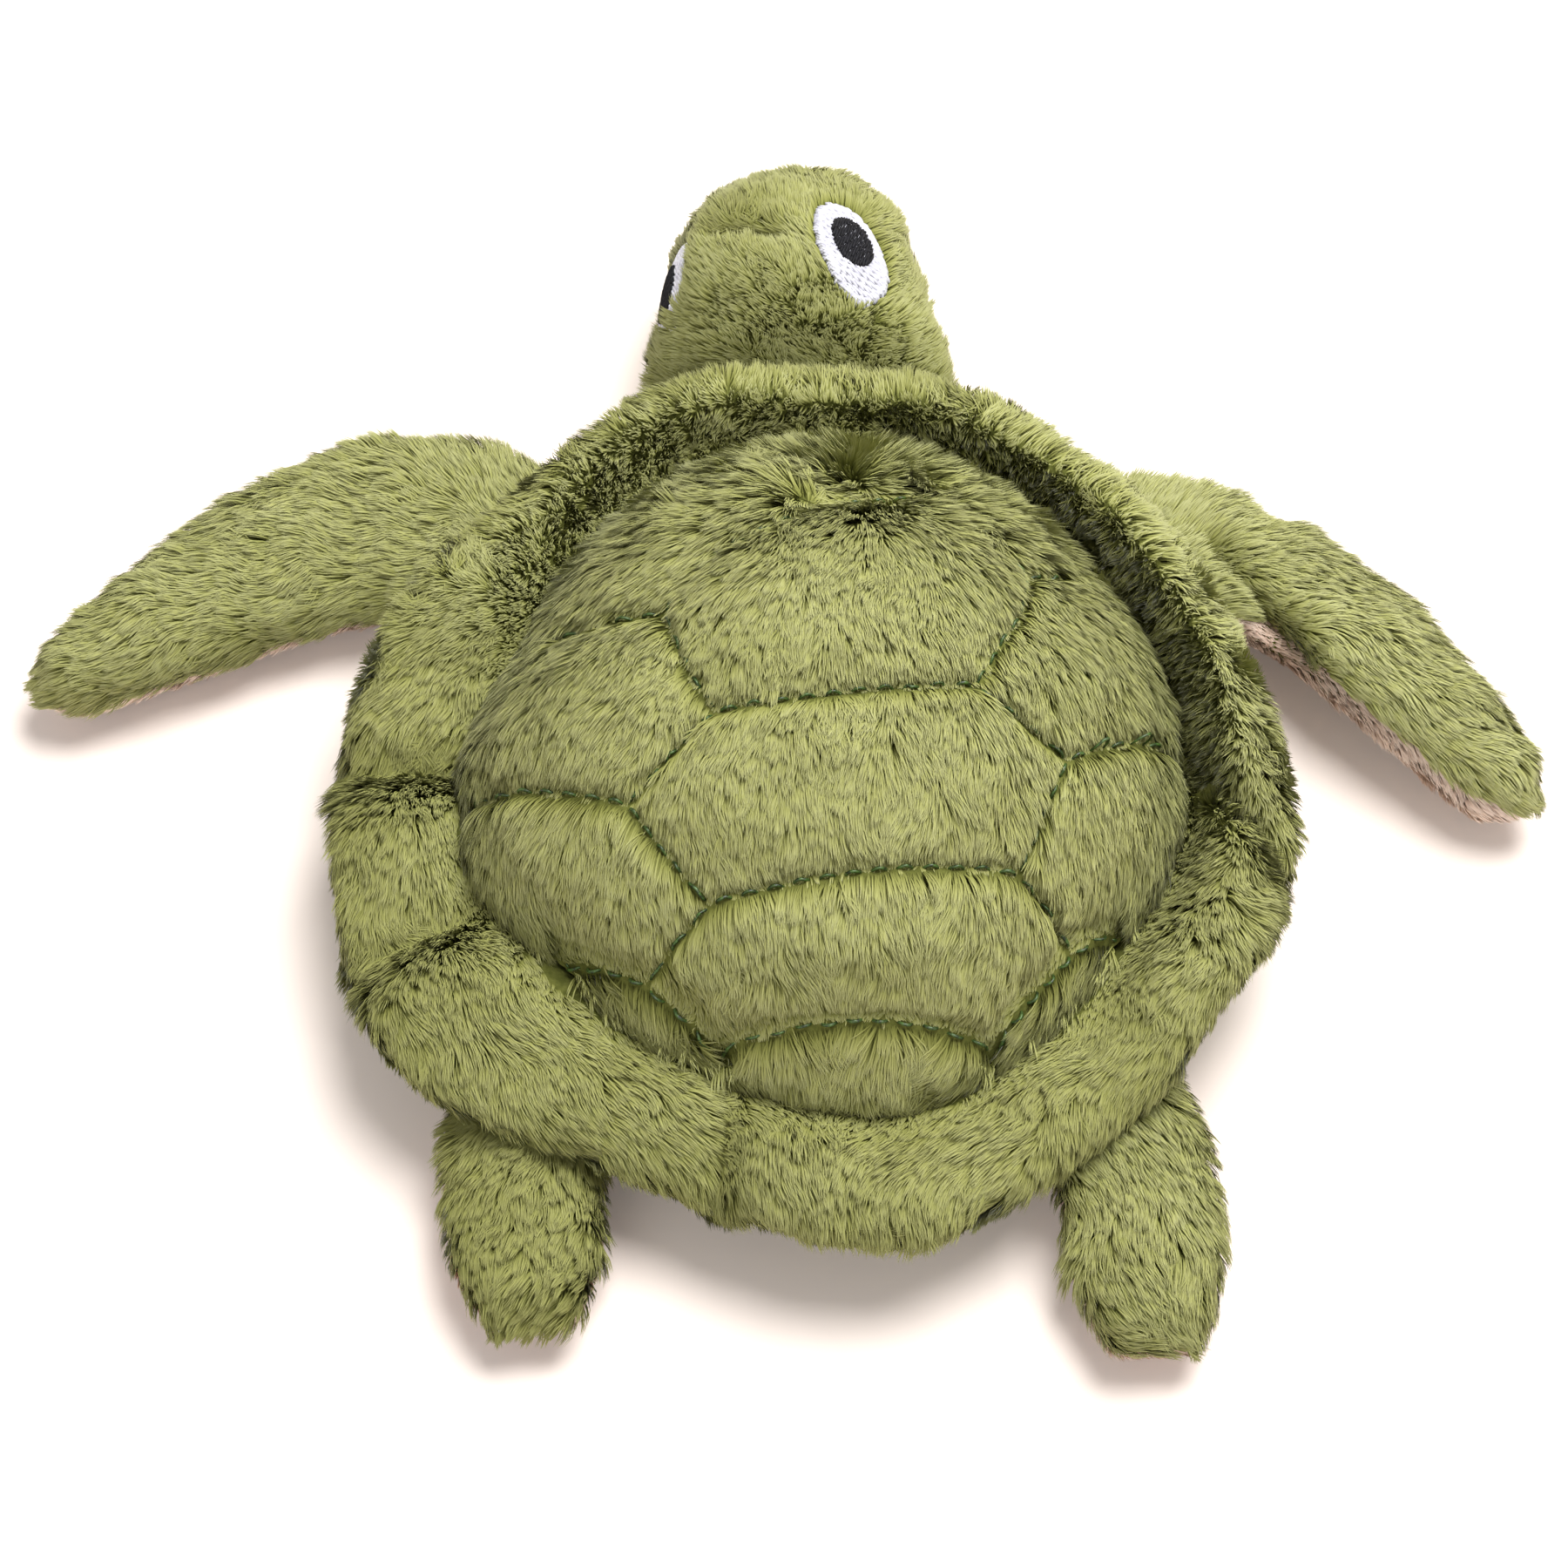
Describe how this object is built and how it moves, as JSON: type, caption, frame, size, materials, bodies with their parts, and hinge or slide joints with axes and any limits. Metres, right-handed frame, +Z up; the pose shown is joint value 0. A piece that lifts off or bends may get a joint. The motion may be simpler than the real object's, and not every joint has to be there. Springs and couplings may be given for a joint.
{
  "type": "plush turtle",
  "caption": "Small stuffed sea turtle in olive pile fabric: a quilted domed shell with a padded rim, a head with embroidered eyes and four flippers with beige undersides.",
  "frame": {"origin": "centre of the flat patch that the belly rests on", "axes": "+Z up through the shell, -Y the way the head points, +X the side of the turtle's left flippers, which is also the widest way"},
  "size_m": [0.2023, 0.1734, 0.048],
  "materials": {
    "shell_plush": "long-pile olive green plush",
    "under_plush": "olive green plush, shaded side",
    "belly_plush": "short-pile beige plush",
    "lining_cloth": "plain woven lining",
    "wadding": "needled polyester wadding",
    "fibrefill": "loose polyester fibre",
    "scute_thread": "matt sewing thread",
    "eye_thread": "satin embroidery thread",
    "pupil_thread": "satin embroidery thread"
  },
  "bodies": {
    "torso": {"dome_cover": "shell_plush", "dome_wadding": "wadding", "dome_stuffing": "fibrefill", "scute_stitching": "scute_thread", "shell_lining": "lining_cloth", "rim_top_panel": "shell_plush", "rim_under_panel": "under_plush", "rim_wadding": "wadding", "body_top_panel": "under_plush", "belly_panel": "belly_plush", "body_stuffing": "fibrefill"},
    "head": {"head_crown_panel": "shell_plush", "head_snout_panel": "shell_plush", "head_chin_panel": "belly_plush", "head_stuffing": "fibrefill", "left_eye_white": "eye_thread", "left_pupil": "pupil_thread", "right_eye_white": "eye_thread", "right_pupil": "pupil_thread"},
    "left_front_flipper": {"left_front_flipper_top_panel": "shell_plush", "left_front_flipper_under_panel": "belly_plush", "left_front_flipper_wadding": "wadding"},
    "right_front_flipper": {"right_front_flipper_top_panel": "shell_plush", "right_front_flipper_under_panel": "belly_plush", "right_front_flipper_wadding": "wadding"},
    "left_rear_flipper": {"left_rear_flipper_top_panel": "shell_plush", "left_rear_flipper_under_panel": "belly_plush", "left_rear_flipper_wadding": "wadding"},
    "right_rear_flipper": {"right_rear_flipper_top_panel": "shell_plush", "right_rear_flipper_under_panel": "belly_plush", "right_rear_flipper_wadding": "wadding"}
  },
  "joints": [
    {"name": "head_nod", "type": "hinge", "parent": "torso", "child": "head", "pos_m": [-0.0015, -0.053, 0.009], "axis": [-1, 0, 0], "range_deg": [-25, 10], "stiffness_Nm_per_rad": 0.2},
    {"name": "left_front_flap", "type": "hinge", "parent": "torso", "child": "left_front_flipper", "pos_m": [0.0361, -0.0357, 0.0075], "axis": [-0.522, -0.853, 0], "range_deg": [-40, 25], "stiffness_Nm_per_rad": 0.06},
    {"name": "right_front_flap", "type": "hinge", "parent": "torso", "child": "right_front_flipper", "pos_m": [-0.04, -0.0343, 0.008], "axis": [-0.2501, 0.9682, 0], "range_deg": [-40, 25], "stiffness_Nm_per_rad": 0.06},
    {"name": "left_rear_flap", "type": "hinge", "parent": "torso", "child": "left_rear_flipper", "pos_m": [0.0321, 0.0382, 0.0065], "axis": [0.8089, -0.5879, 0], "range_deg": [-40, 6], "stiffness_Nm_per_rad": 0.04},
    {"name": "right_rear_flap", "type": "hinge", "parent": "torso", "child": "right_rear_flipper", "pos_m": [-0.0321, 0.0373, 0.0065], "axis": [0.6811, 0.7322, 0], "range_deg": [-40, 7], "stiffness_Nm_per_rad": 0.04}
  ]
}
